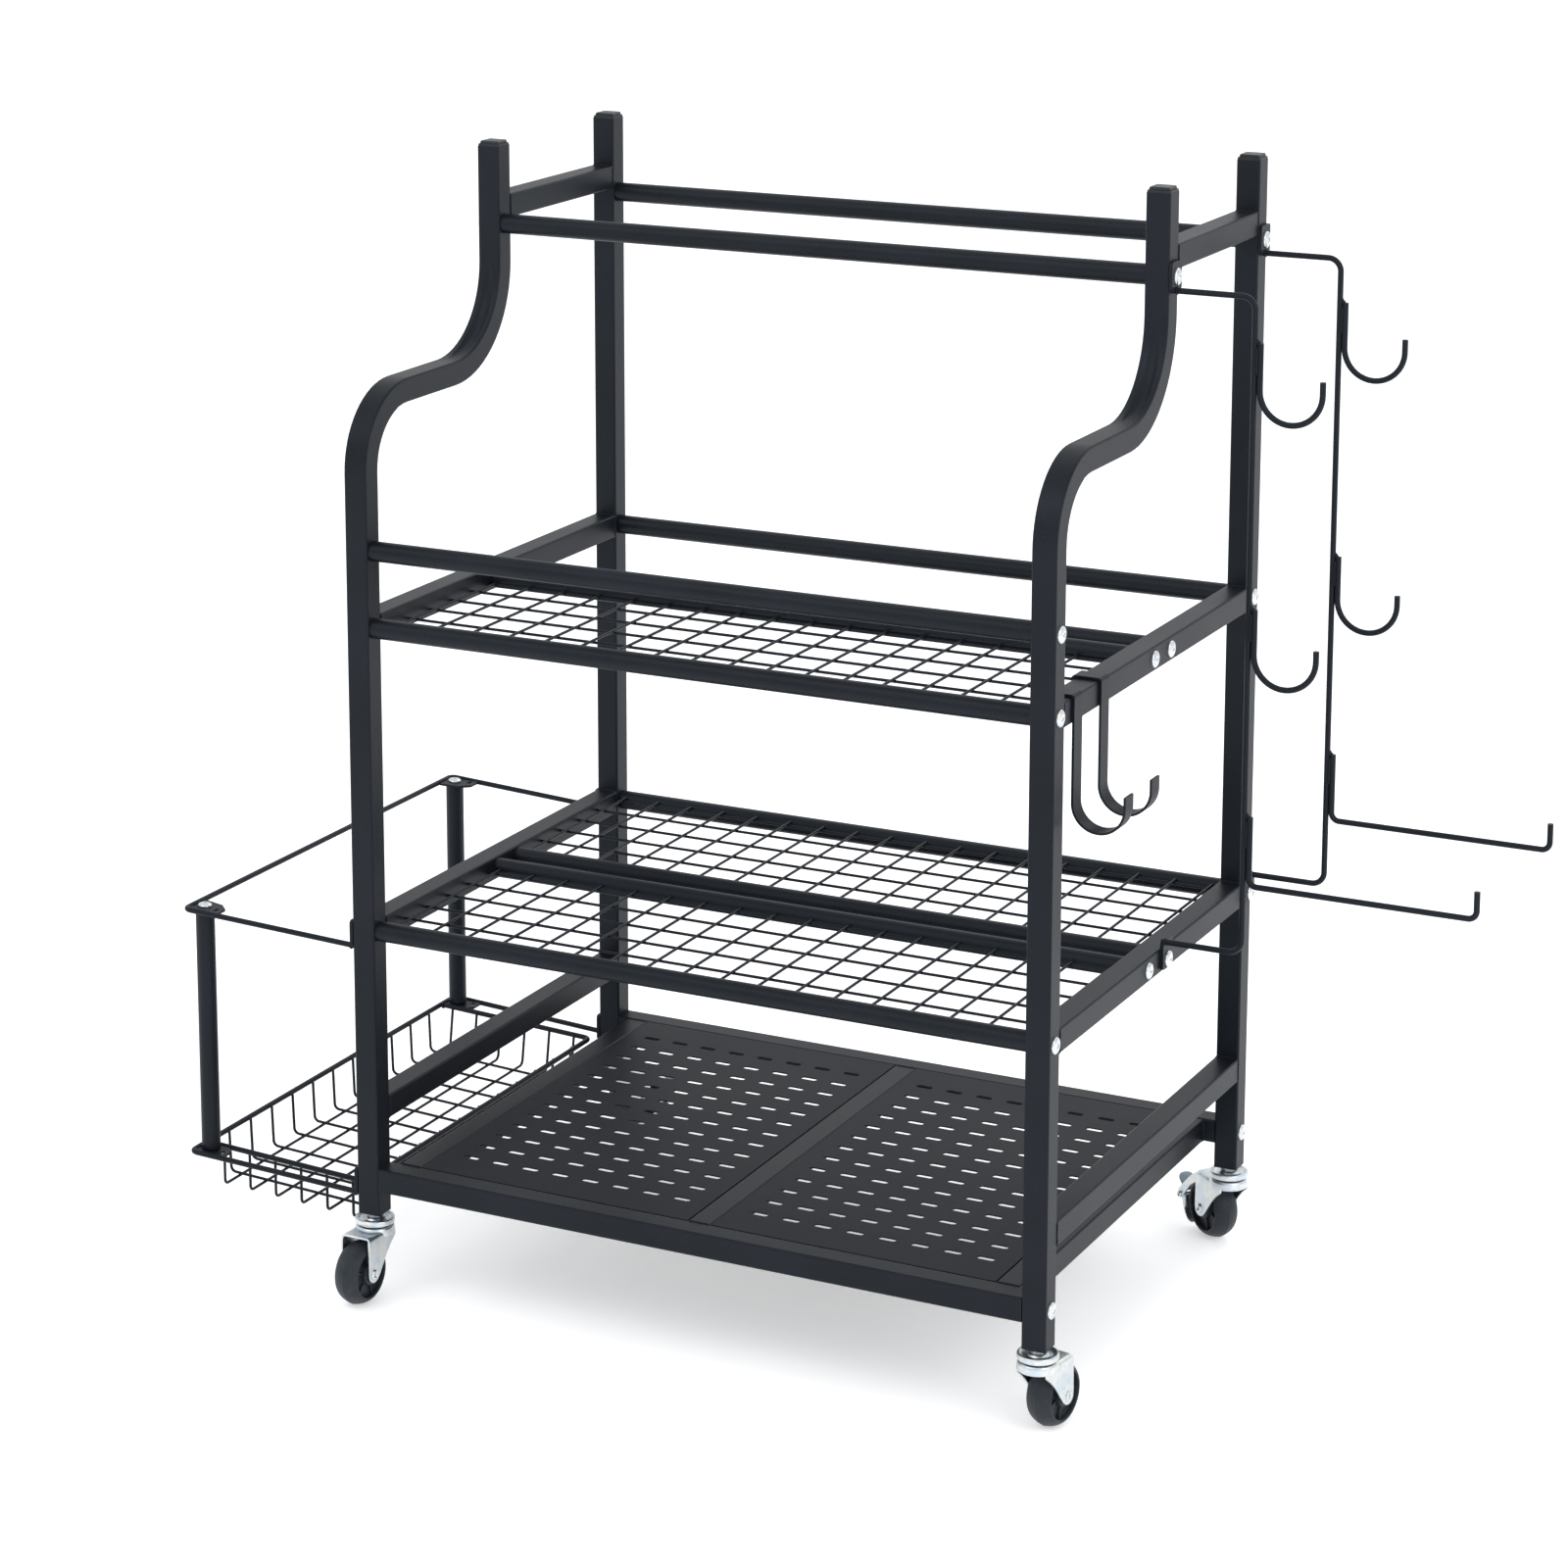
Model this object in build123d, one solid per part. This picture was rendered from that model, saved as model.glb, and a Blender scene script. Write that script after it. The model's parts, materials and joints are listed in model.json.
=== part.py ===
from build123d import *
import os
from math import radians, sin, sqrt

# Wheeled storage shelf: a welded and bolted tube frame on four swivel casters.
# Units are millimetres. +Z is up, +X is the right side, -Y is the front.
# The origin is on the floor, under the middle of the frame.

os.makedirs("parts", exist_ok=True)

# ---- frame sizes
frame_width = 632.0
frame_depth = 450.8
frame_top = 962.3
post_foot = 74.3
tube = 20.8
tube_wall = 1.5
tube_corner = 1.8
bar_dia = 17.0
bar_wall = 1.2

# ---- where things sit across, along and up the frame
post_x = frame_width / 2 - tube / 2
post_y = frame_depth / 2 - tube / 2
upper_front_y = 9.0
bar_length = frame_width - 2 * tube
rail_length = frame_depth - 2 * tube
top_bar_z = 895.0
top_rail_z = 909.3
guard_bar_z = 653.2
tier2_z = 587.5
tier3_z = 325.2
low_guard_z = 166.3
shelf_z = 106.3
inner_bar_front_y = -17.0
inner_bar_rear_y = 19.0

# ---- swan neck of the front posts
neck_z = 778.2
lower_bend_radius = 60.0
upper_bend_radius = 85.0
dent_depth = 2.6
dent_radius = 8.5

# ---- screws
screw_dia = 6.0
screw_hole = 6.4
screw_head_dia = 14.0
screw_head_height = 3.2
screw_grip = 12.0

# ---- wire mesh
wire_dia = 2.5
mesh_columns = 18
mesh_column_pitch = 33.8
mesh_row_pitch = 35.2

# ---- bottom shelf
shelf_side_x = 275.0
sheet = 1.2
slot_columns = 8
slot_column_pitch = 29.0
slot_rows = 13
slot_row_pitch = 27.5
slot_length = 15.5
slot_width = 6.0

# ---- rods, tabs and hooks on the right side
rod_dia = 5.0
tab_width = 21.0
tab_height = 24.0
tab_thick = 3.0
hook_rail_x = 385.0
hook_rail_top_z = 883.5
hook_rail_low_z = 341.7
hook_turn_radius = 26.0
long_hook_reach = 579.5

# ---- side holder on the left
holder_rod = 4.8
holder_x = -486.0
holder_half_depth = 225.0
holder_rise = 2.7
upper_ring_z = 311.3
lower_ring_z = 91.3
holder_tube_dia = 16.5
holder_tube_x = -474.0
holder_tube_y = 211.3
basket_drop = 36.0
basket_half_depth = 200.0
basket_inner_x = -324.0

# ---- casters
wheel_radius = 27.8
wheel_width = 23.5
trail = 23.8
leg_gap = 12.6
leg_thick = 2.0
cup_radius = 17.0
stem_dia = 8.0


def save(shape, name):
    shape.label = name
    export_step(shape, os.path.join("parts", name + ".step"))
    print(name, len(shape.solids()))


def group(pieces):
    solids = []
    for piece in pieces:
        solids.extend(piece.solids())
    return Compound(children=solids)


def along_x(radius, length):
    return Rot(0, 90, 0) * Cylinder(radius, length)


def along_y(radius, length):
    return Rot(90, 0, 0) * Cylinder(radius, length)


def square_section(width):
    corner = max(tube_corner - (tube - width) / 2, 0.6)
    return RectangleRounded(width, width, corner)


def rod(points, bend, diameter):
    # round rod along a bent path
    path = FilletPolyline(*points, radius=bend) if len(points) > 2 else Line(*points)
    return sweep(Plane(origin=path @ 0, z_dir=path % 0) * Circle(diameter / 2), path=path)


# ---- square posts

def screw_holes(body, x, spots):
    for y, z in spots:
        body -= Pos(x, y, z) * along_x(screw_hole / 2, tube * 2)
    return body


def straight_tube(length):
    outer = extrude(square_section(tube), length / 2, both=True)
    bore = extrude(square_section(tube - 2 * tube_wall), length, both=True)
    return outer - bore


def swan_neck_path(x):
    lower_y = -post_y
    first = Line((x, lower_y, post_foot), (x, lower_y, neck_z - lower_bend_radius))
    turn = 1 - sqrt(0.5)
    rise = sqrt(0.5)
    bend_a = ThreePointArc(
        (x, lower_y, neck_z - lower_bend_radius),
        (x, lower_y + turn * lower_bend_radius, neck_z - lower_bend_radius * (1 - rise)),
        (x, lower_y + lower_bend_radius, neck_z),
    )
    run = Line((x, lower_y + lower_bend_radius, neck_z), (x, upper_front_y - upper_bend_radius, neck_z))
    bend_b = ThreePointArc(
        (x, upper_front_y - upper_bend_radius, neck_z),
        (x, upper_front_y - turn * upper_bend_radius, neck_z + turn * upper_bend_radius),
        (x, upper_front_y, neck_z + upper_bend_radius),
    )
    last = Line((x, upper_front_y, neck_z + upper_bend_radius), (x, upper_front_y, frame_top))
    return Wire([first, bend_a, run, bend_b, last])


def bend_dent(x, centre_y, centre_z, bend_radius, direction, extra):
    # crease left on the inner side of a bent square tube, deepest at mid bend
    inner = bend_radius - tube / 2
    shift = dent_depth / (1 - sqrt(0.5))
    ring_radius = inner + dent_depth - shift - dent_radius
    y = centre_y + shift * sqrt(0.5) * direction[0]
    z = centre_z + shift * sqrt(0.5) * direction[1]
    return Pos(x, y, z) * Rot(0, 90, 0) * Torus(ring_radius, dent_radius + extra)


def front_post(x):
    path = swan_neck_path(x)
    start = Plane(origin=path @ 0, z_dir=path % 0)
    outer = sweep(start * square_section(tube), path=path)
    bore = sweep(start * square_section(tube - 2 * tube_wall), path=path)
    lower_centre = (-post_y + lower_bend_radius, neck_z - lower_bend_radius)
    upper_centre = (upper_front_y - upper_bend_radius, neck_z + upper_bend_radius)
    outer -= bend_dent(x, *lower_centre, lower_bend_radius, (-1, 1), 0)
    outer -= bend_dent(x, *upper_centre, upper_bend_radius, (1, -1), 0)
    bore -= bend_dent(x, *lower_centre, lower_bend_radius, (-1, 1), tube_wall)
    bore -= bend_dent(x, *upper_centre, upper_bend_radius, (1, -1), tube_wall)
    post = outer - bore
    spots = [(-post_y, shelf_z), (-post_y, tier3_z), (-post_y, tier2_z)]
    spots += [(-post_y, guard_bar_z), (upper_front_y, top_bar_z)]
    return screw_holes(post, x, spots)


def rear_post(x):
    length = frame_top - post_foot
    post = Pos(x, post_y, post_foot + length / 2) * straight_tube(length)
    spots = [(post_y, z) for z in (shelf_z, tier3_z, tier2_z, top_bar_z)]
    return screw_holes(post, x, spots)


save(front_post(-post_x), "post_front_left")
save(front_post(post_x), "post_front_right")
save(rear_post(-post_x), "post_rear_left")
save(rear_post(post_x), "post_rear_right")


# ---- side rails, front to back between the posts

def side_rail(x, front_y, z):
    length = post_y - tube / 2 - front_y
    return Pos(x, front_y + length / 2, z) * Rot(90, 0, 0) * straight_tube(length)


def tier_rail(x, z):
    rail = side_rail(x, -post_y + tube / 2, z)
    return screw_holes(rail, x, [(inner_bar_front_y, z), (inner_bar_rear_y, z)])


for side, x in (("left", -post_x), ("right", post_x)):
    save(side_rail(x, upper_front_y + tube / 2, top_rail_z), "top_rail_" + side)
    save(tier_rail(x, tier2_z), "tier2_rail_" + side)
    save(tier_rail(x, tier3_z), "tier3_rail_" + side)
    save(side_rail(x, -post_y + tube / 2, low_guard_z), "low_guard_rail_" + side)


# ---- round cross bars with threaded ends

def cross_bar(y, z):
    plug = 18.0
    thread_depth = screw_grip + 2
    bar = along_x(bar_dia / 2, bar_length)
    bar -= along_x(bar_dia / 2 - bar_wall, bar_length - 2 * plug)
    for end in (-1, 1):
        hole = along_x(screw_dia / 2 + 0.05, thread_depth)
        bar -= Pos(end * (bar_length / 2 - thread_depth / 2), 0, 0) * hole
    return Pos(0, y, z) * bar


save(cross_bar(upper_front_y, top_bar_z), "top_bar_front")
save(cross_bar(post_y, top_bar_z), "top_bar_rear")
save(cross_bar(-post_y, guard_bar_z), "tier2_guard_bar")
for tier, z in (("tier2", tier2_z), ("tier3", tier3_z)):
    save(cross_bar(-post_y, z), tier + "_bar_front")
    save(group([cross_bar(inner_bar_front_y, z), cross_bar(inner_bar_rear_y, z)]), tier + "_bars_middle")
    save(cross_bar(post_y, z), tier + "_bar_rear")


# ---- welded wire mesh; the long wires lie under the front-to-back ones

def bar_side(height):
    # how far a bar's surface stands out at a wire's lower edge
    return sqrt((bar_dia / 2) ** 2 - (abs(height) - wire_dia / 2) ** 2) + 0.1


def row_spots(first, count):
    return [first + i * mesh_row_pitch for i in range(count)]


def mesh(front_bar_y, rear_bar_y, bar_z, lift, rows):
    lap = 0.25
    upper_z = bar_z + lift + wire_dia / 2 - lap / 2
    lower_z = bar_z + lift - wire_dia / 2 + lap / 2
    front_end = front_bar_y + bar_side(upper_z - bar_z)
    rear_end = rear_bar_y - bar_side(upper_z - bar_z)
    wires = []
    for i in range(mesh_columns):
        x = (i - (mesh_columns - 1) / 2) * mesh_column_pitch
        wire = along_y(wire_dia / 2, rear_end - front_end)
        wires.append(Pos(x, (front_end + rear_end) / 2, upper_z) * wire)
    for y in rows:
        wires.append(Pos(0, y, lower_z) * along_x(wire_dia / 2, bar_length - 0.2))
    return wires[0].fuse(*wires[1:])


tier2_rows = row_spots(-159.3, 4) + [-27.2]
save(mesh(-post_y, inner_bar_front_y, tier2_z, -3.2, tier2_rows), "tier2_mesh")
save(mesh(-post_y, inner_bar_front_y, tier3_z, 0.0, row_spots(-173.3, 5)), "tier3_mesh_front")
save(mesh(inner_bar_rear_y, post_y, tier3_z, 3.5, row_spots(61.2, 5)), "tier3_mesh_rear")


# ---- bottom shelf: frame, divider and two slotted trays

def cross_rail(y):
    rail = Pos(0, y, shelf_z) * Rot(0, 90, 0) * straight_tube(bar_length)
    for end in (-1, 1):
        plug_length = 18.0
        plug = Box(plug_length, tube - 2 * tube_wall, tube - 2 * tube_wall)
        plug -= along_x(screw_dia / 2 + 0.05, plug_length)
        rail += Pos(end * (bar_length - plug_length) / 2, y, shelf_z) * plug
    return rail


def tray(centre_x, width):
    depth = rail_length - 1.0
    lip = 12.0
    top = shelf_z + tube / 2
    plate = Pos(0, 0, top - sheet / 2) * Box(width, depth, sheet)
    skirt = Pos(0, 0, top - lip / 2) * Box(width, depth, lip)
    skirt -= Pos(0, 0, top - lip / 2) * Box(width - 2 * sheet, depth - 2 * sheet, lip)
    slot = Pos(0, 0, top) * extrude(SlotOverall(slot_length, slot_width), sheet * 2, both=True)
    grid = GridLocations(slot_column_pitch, slot_row_pitch, slot_columns, slot_rows)
    plate = plate.cut(*[spot * slot for spot in grid])
    return Pos(centre_x, 0, 0) * (plate + skirt)


save(cross_rail(-post_y), "shelf_rail_front")
save(cross_rail(post_y), "shelf_rail_rear")
save(side_rail(-shelf_side_x, -post_y + tube / 2, shelf_z), "shelf_rail_left")
save(side_rail(shelf_side_x, -post_y + tube / 2, shelf_z), "shelf_rail_right")
save(side_rail(0, -post_y + tube / 2, shelf_z), "shelf_divider")
bay = shelf_side_x - tube
save(tray(-shelf_side_x / 2, bay - 1.0), "shelf_tray_left")
save(tray(shelf_side_x / 2, bay - 1.0), "shelf_tray_right")


# ---- stepped caps that close the post tops

def end_cap():
    plug_width = tube - 2 * tube_wall - 0.4
    cap = extrude(RectangleRounded(plug_width, plug_width, 1.0), -12.0)
    cap += extrude(RectangleRounded(tube - 0.6, tube - 0.6, 2.0), 1.8)
    crown = Pos(0, 0, 1.8) * extrude(RectangleRounded(tube - 3.0, tube - 3.0, 2.0), 2.6)
    crown = chamfer(crown.faces().sort_by(Axis.Z)[-1].edges(), 0.9)
    return cap + crown


caps = []
for x in (-post_x, post_x):
    for y in (upper_front_y, post_y):
        caps.append(Pos(x, y, frame_top) * end_cap())
save(group(caps), "post_end_caps")


# ---- pan head screws, head outwards

def pan_head(diameter, height):
    # low dome with a cross recess, seat at the origin and crown along +Z
    flat = height * 0.3
    ball = ((diameter / 2) ** 2 + (height - flat) ** 2) / (2 * (height - flat))
    dome = Pos(0, 0, height - ball) * Sphere(ball)
    head = Pos(0, 0, height / 2) * Cylinder(diameter / 2, height) & dome
    for turn in (0, 90):
        arm = Pos(0, 0, height) * Rot(0, 0, turn) * Box(diameter * 0.5, 1.3, height)
        head -= arm
    return head


def screw(length):
    shank = Pos(0, 0, -length / 2) * Cylinder(screw_dia / 2, length)
    return pan_head(screw_head_dia, screw_head_height) + shank


def side_screw(side, y, z, washer):
    # washer is the thickness of a tab clamped under the head
    length = tube + screw_grip + washer
    seat = side * (frame_width / 2 + washer)
    return Pos(seat, y, z) * Rot(0, side * 90, 0) * screw(length)


both_sides = [
    (upper_front_y, top_bar_z),
    (post_y, top_bar_z),
    (-post_y, guard_bar_z),
    (-post_y, tier2_z),
    (inner_bar_front_y, tier2_z),
    (inner_bar_rear_y, tier2_z),
    (post_y, tier2_z),
    (-post_y, tier3_z),
    (inner_bar_front_y, tier3_z),
    (inner_bar_rear_y, tier3_z),
    (post_y, tier3_z),
    (-post_y, shelf_z),
    (post_y, shelf_z),
]
right_tabs = [
    (upper_front_y, top_bar_z),
    (post_y, top_bar_z),
    (inner_bar_rear_y, tier3_z),
    (post_y, tier3_z),
]
left_tabs = [(-post_y, tier3_z), (post_y, tier3_z), (-post_y, shelf_z), (post_y, shelf_z)]
screws = []
for spot in both_sides:
    screws.append(side_screw(1, *spot, tab_thick if spot in right_tabs else 0.0))
    screws.append(side_screw(-1, *spot, tab_thick if spot in left_tabs else 0.0))
save(group(screws), "frame_screws")


# ---- right side: two hook rails, each a bent rod with a drilled tab at both ends

def tab(side, y, z_low, screw_z):
    plate = extrude(RectangleRounded(tab_height, tab_width, 3.0), tab_thick)
    plate = Rot(0, 90, 0) * plate
    x = frame_width / 2 if side > 0 else -frame_width / 2 - tab_thick
    plate = Pos(x, y, z_low + tab_height / 2) * plate
    hole = Pos(side * frame_width / 2, y, screw_z) * along_x(screw_hole / 2, tab_thick * 4)
    return plate - hole


def hook_rail(top_y, low_y, low_tab_y):
    start_x = frame_width / 2 + 0.1
    points = [
        (start_x, top_y, hook_rail_top_z),
        (hook_rail_x, top_y, hook_rail_top_z),
        (hook_rail_x, low_y, hook_rail_low_z),
        (start_x, low_y, hook_rail_low_z),
    ]
    rail = rod(points, 11.0, rod_dia)
    rail += tab(1, top_y, hook_rail_top_z, top_bar_z)
    rail += tab(1, low_tab_y, hook_rail_low_z - tab_height, tier3_z)
    return rail


def j_hook(y, turn_z, shank_top, tip_z):
    x = hook_rail_x + rod_dia
    far_x = x + 2 * hook_turn_radius
    shank = Line((x, y, shank_top), (x, y, turn_z))
    bow = ThreePointArc(
        (x, y, turn_z),
        (x + hook_turn_radius, y, turn_z - hook_turn_radius),
        (far_x, y, turn_z),
    )
    tip = Line((far_x, y, turn_z), (far_x, y, tip_z))
    path = Wire([shank, bow, tip])
    return sweep(Plane(origin=path @ 0, z_dir=path % 0) * Circle(rod_dia / 2), path=path)


def long_hook(y, arm_z, shank_top, tip_z):
    x = hook_rail_x + rod_dia
    points = [
        (x, y, shank_top),
        (x, y, arm_z),
        (long_hook_reach, y, arm_z),
        (long_hook_reach, y, tip_z),
    ]
    return rod(points, 7.0, rod_dia)


def rail_hooks(top_y, low_y):
    def rail_y(z):
        return top_y + (low_y - top_y) * (hook_rail_top_z - z) / (hook_rail_top_z - hook_rail_low_z)

    return [
        j_hook(rail_y(828.3), 809.0, 846.8, 819.8),
        j_hook(rail_y(612.3), 593.2, 630.2, 602.0),
        long_hook(rail_y(430.3), 399.8, 457.8, 422.8),
    ]


front_rail_low_y = inner_bar_rear_y - 7.5
save(hook_rail(upper_front_y, front_rail_low_y, inner_bar_rear_y), "hook_rail_front")
save(hook_rail(post_y, post_y, post_y), "hook_rail_rear")
save(group(rail_hooks(upper_front_y, front_rail_low_y)), "rail_hooks_front")
save(group(rail_hooks(post_y, post_y)), "rail_hooks_rear")


# ---- flat strip hooks that hang over the right tier 2 rail and slide along it

def strip_hook(y):
    gap = 0.4
    strip_thick = 2.0
    strip_width = 16.0
    curl = 21.6
    offset = gap + strip_thick / 2
    inner_x = post_x - tube / 2 - offset
    outer_x = post_x + tube / 2 + offset
    over_z = tier2_z + tube / 2 + offset
    lip = 9.0
    turn_z = 514.0
    corner = 2.2
    over = FilletPolyline(
        (inner_x, y, over_z - lip),
        (inner_x, y, over_z),
        (outer_x, y, over_z),
        (outer_x, y, turn_z),
        radius=corner,
    )
    bow = ThreePointArc(
        (outer_x, y, turn_z),
        (outer_x + curl, y, turn_z - curl),
        (outer_x + 2 * curl, y, turn_z),
    )
    tip = Line((outer_x + 2 * curl, y, turn_z), (outer_x + 2 * curl, y, turn_z + 9.8))
    path = Wire(over.edges() + bow.edges() + tip.edges())
    section = Plane(origin=path @ 0, x_dir=(0, 1, 0), z_dir=path % 0) * Rectangle(strip_width, strip_thick)
    return sweep(section, path=path)


save(strip_hook(-183.0), "strip_hook_front")
save(strip_hook(-128.0), "strip_hook_rear")


# ---- left side holder: two rod rings, two tubes between them and a wire basket

def ring_place(z):
    # a ring leans up a little towards its outer side
    return Pos(-frame_width / 2, 0, z) * Rot(0, holder_rise, 0) * Pos(frame_width / 2, 0, 0)


def corner_plate(side):
    # gusset in a ring corner, drilled for the screw into the tube
    edge = holder_rod / 2 - 0.3
    x0 = holder_x + edge
    y0 = holder_half_depth - edge
    outline = Polyline(
        (x0, y0),
        (x0 + 29, y0),
        (x0 + 29, y0 - 14),
        (x0 + 21, y0 - 22),
        (x0 + 5, y0 - 25),
        (x0, y0 - 25),
        close=True,
    )
    plate = extrude(make_face(outline), 2.0)
    plate -= Pos(x0 + 23.5, y0 - 8, 0) * Rot(0, 0, 90) * extrude(SlotOverall(7.0, 3.0), 4.0, both=True)
    plate -= Pos(holder_tube_x, holder_tube_y, 0) * Cylinder(2.7, 10)
    return plate if side > 0 else mirror(plate, Plane.XZ)


def ring():
    end_y = holder_half_depth - 3.0
    near_x = -frame_width / 2 - 1.5
    points = [
        (near_x, -end_y, 0),
        (holder_x, -holder_half_depth, 0),
        (holder_x, holder_half_depth, 0),
        (near_x, end_y, 0),
    ]
    shape = rod(points, 6.0, holder_rod)
    for side in (-1, 1):
        shape += Pos(0, 0, -1.0) * corner_plate(side)
    return shape


def with_tabs(shape, z):
    screw_z = tier3_z if z > low_guard_z else shelf_z
    for y in (-post_y, post_y):
        shape += tab(-1, y, z - 1.0, screw_z)
    return shape


upper_ring = with_tabs(ring_place(upper_ring_z) * ring(), upper_ring_z)
save(upper_ring, "holder_ring_upper")

rim_outer_x = holder_x + holder_rod / 2 - 0.3
rim_points = [
    (rim_outer_x, -basket_half_depth, 0),
    (basket_inner_x, -basket_half_depth, 0),
    (basket_inner_x, basket_half_depth, 0),
    (rim_outer_x, basket_half_depth, 0),
]
rim = rod(rim_points, 6.0, holder_rod)
lower_ring = with_tabs(ring_place(lower_ring_z) * (ring() + rim), lower_ring_z)
save(lower_ring, "holder_ring_lower")


def basket_wires():
    hang = (holder_rod + wire_dia) / 2 + 0.05
    lean = 3.0
    bend = 5.0
    cross_pitch = 34.2
    cross_count = 11
    long_pitch = 26.4
    long_count = 6
    middle_x = (holder_x + basket_inner_x) / 2
    wires = []
    for i in range(cross_count):
        y = (i - (cross_count - 1) / 2) * cross_pitch
        points = [
            (holder_x + hang, y, 0),
            (holder_x + hang + lean, y, -basket_drop),
            (basket_inner_x - hang - lean, y, -basket_drop),
            (basket_inner_x - hang, y, 0),
        ]
        wires.append(rod(points, bend, wire_dia))
    floor_z = -basket_drop - wire_dia - 0.05
    for i in range(long_count):
        x = middle_x + (i - (long_count - 1) / 2) * long_pitch
        reach = basket_half_depth - hang
        points = [
            (x, -reach, 0),
            (x, -reach + lean, floor_z),
            (x, reach - lean, floor_z),
            (x, reach, 0),
        ]
        wires.append(rod(points, bend, wire_dia))
    return [ring_place(lower_ring_z) * wire for wire in wires]


save(group(basket_wires()), "basket_wires")

lean_gain = sin(radians(holder_rise)) * (abs(holder_tube_x) - frame_width / 2)
tube_top_z = upper_ring_z + lean_gain - 1.8
tube_low_z = lower_ring_z + lean_gain + 1.8
tubes = []
holder_screws = []
for y in (-holder_tube_y, holder_tube_y):
    length = tube_top_z - tube_low_z
    shell = Cylinder(holder_tube_dia / 2, length) - Cylinder(holder_tube_dia / 2 - 1.2, length - 24)
    shell -= Cylinder(2.6, length)
    tubes.append(Pos(holder_tube_x, y, tube_low_z + length / 2) * shell)
    shank = Pos(0, 0, -6.5) * Cylinder(2.5, 14)
    for seat_z, turn in ((tube_top_z + 3.1, 0), (tube_low_z - 3.1, 180)):
        head = Rot(0, holder_rise, 0) * Rot(turn, 0, 0) * pan_head(12.0, 2.8)
        holder_screws.append(Pos(holder_tube_x, y, seat_z) * (head + Rot(turn, 0, 0) * shank))
save(group(tubes), "holder_tubes")
save(group(holder_screws), "holder_screws")


# ---- casters, drawn with the wheel trailing towards +X of the stem

cup_low_z = 64.7
crown_top_z = 63.5
crown_low_z = 55.8
stem_low_z = 56.2
stem_top_z = 98.3
rivet_thick = 2.4
brake_pin_x = 56.8
brake_pin_z = 29.0
brake_half_width = 10.4


def stem():
    # stem with its hex nut, the dished upper race and the rivet head under the fork
    part = Pos(0, 0, (stem_low_z + stem_top_z) / 2) * Cylinder(stem_dia / 2, stem_top_z - stem_low_z)
    part += Pos(0, 0, post_foot - 2.0) * extrude(RegularPolygon(7.4, 6), 2.0)
    profile = make_face(
        Polyline(
            (0, cup_low_z + 1.6),
            (9.0, cup_low_z + 1.6),
            (12.5, cup_low_z),
            (16.0, cup_low_z),
            (cup_radius, cup_low_z + 1.2),
            (cup_radius, cup_low_z + 4.2),
            (16.0, cup_low_z + 5.4),
            (14.6, cup_low_z + 5.4),
            (12.6, cup_low_z + 3.0),
            (9.0, cup_low_z + 3.6),
            (0, cup_low_z + 3.6),
            close=True,
        )
    )
    part += revolve(Plane.XZ * profile, Axis.Z)
    part += Pos(0, 0, cup_low_z + 5.5) * Cylinder(7.0, 4.2)
    part += Pos(0, 0, stem_low_z + rivet_thick / 2) * Cylinder(7.0, rivet_thick)
    return part


def foot_plug():
    # threaded plug in the post foot that takes the stem
    width = tube - 2 * tube_wall - 0.2
    plug = extrude(RectangleRounded(width, width, 0.9), 24.0)
    return Pos(0, 0, post_foot + 0.3) * (plug - Cylinder(stem_dia / 2 + 0.05, 90))


def fork_leg(braked):
    axle_z = wheel_radius
    outline = [
        (-9.5, crown_low_z + 3.5),
        (28.5, crown_low_z + 5.5),
        (30.8, crown_low_z + 2.0),
        (31.3, axle_z + 1.5),
        (30.0, axle_z - 4.0),
        (26.5, axle_z - 6.8),
        (20.5, axle_z - 6.6),
        (15.5, axle_z - 2.6),
        (11.0, axle_z + 3.5),
        (4.5, axle_z + 12.0),
        (-3.0, axle_z + 20.0),
        (-9.5, axle_z + 24.5),
    ]
    leg = make_face(Polyline(*outline, close=True))
    if braked:
        arm = [
            (20.0, crown_low_z + 5.0),
            (30.0, crown_low_z + 4.5),
            (40.0, crown_low_z - 3.0),
            (60.0, 34.0),
            (61.2, 29.5),
            (59.0, 25.2),
            (54.5, 25.2),
            (47.0, 32.5),
            (38.0, 42.0),
            (28.0, 45.0),
        ]
        leg += make_face(Polyline(*arm, close=True))
    plate = extrude(Plane.XZ * leg, leg_thick)
    hole = Pos(trail, 0, axle_z) * along_y(3.1, leg_thick * 4)
    plate -= hole
    if braked:
        plate -= Pos(brake_pin_x, 0, brake_pin_z) * along_y(2.1, leg_thick * 4)
    return plate


def fork(braked):
    outer = leg_gap + leg_thick
    crown_profile = make_face(
        Polyline(
            (stem_dia / 2 + 0.4, crown_low_z + 3.5),
            (12.0, crown_low_z + 3.5),
            (14.5, crown_low_z),
            (16.4, crown_low_z),
            (16.8, crown_low_z + 4.5),
            (15.6, crown_top_z - 0.4),
            (14.0, crown_top_z),
            (11.0, crown_top_z - 1.2),
            (stem_dia / 2 + 0.4, crown_top_z - 1.2),
            close=True,
        )
    )
    part = revolve(Plane.XZ * crown_profile, Axis.Z)
    top = Pos(15.5, 0, crown_low_z + 4.5) * Box(29.0, 2 * outer, 2.0)
    top = fillet(top.edges().filter_by(Axis.Z).sort_by(Axis.X)[-2:], 2.0)
    part += top - Cylinder(stem_dia / 2 + 0.4, 200)
    for y in (outer, -leg_gap):
        part += Pos(0, y, 0) * fork_leg(braked)
    return part


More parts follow.
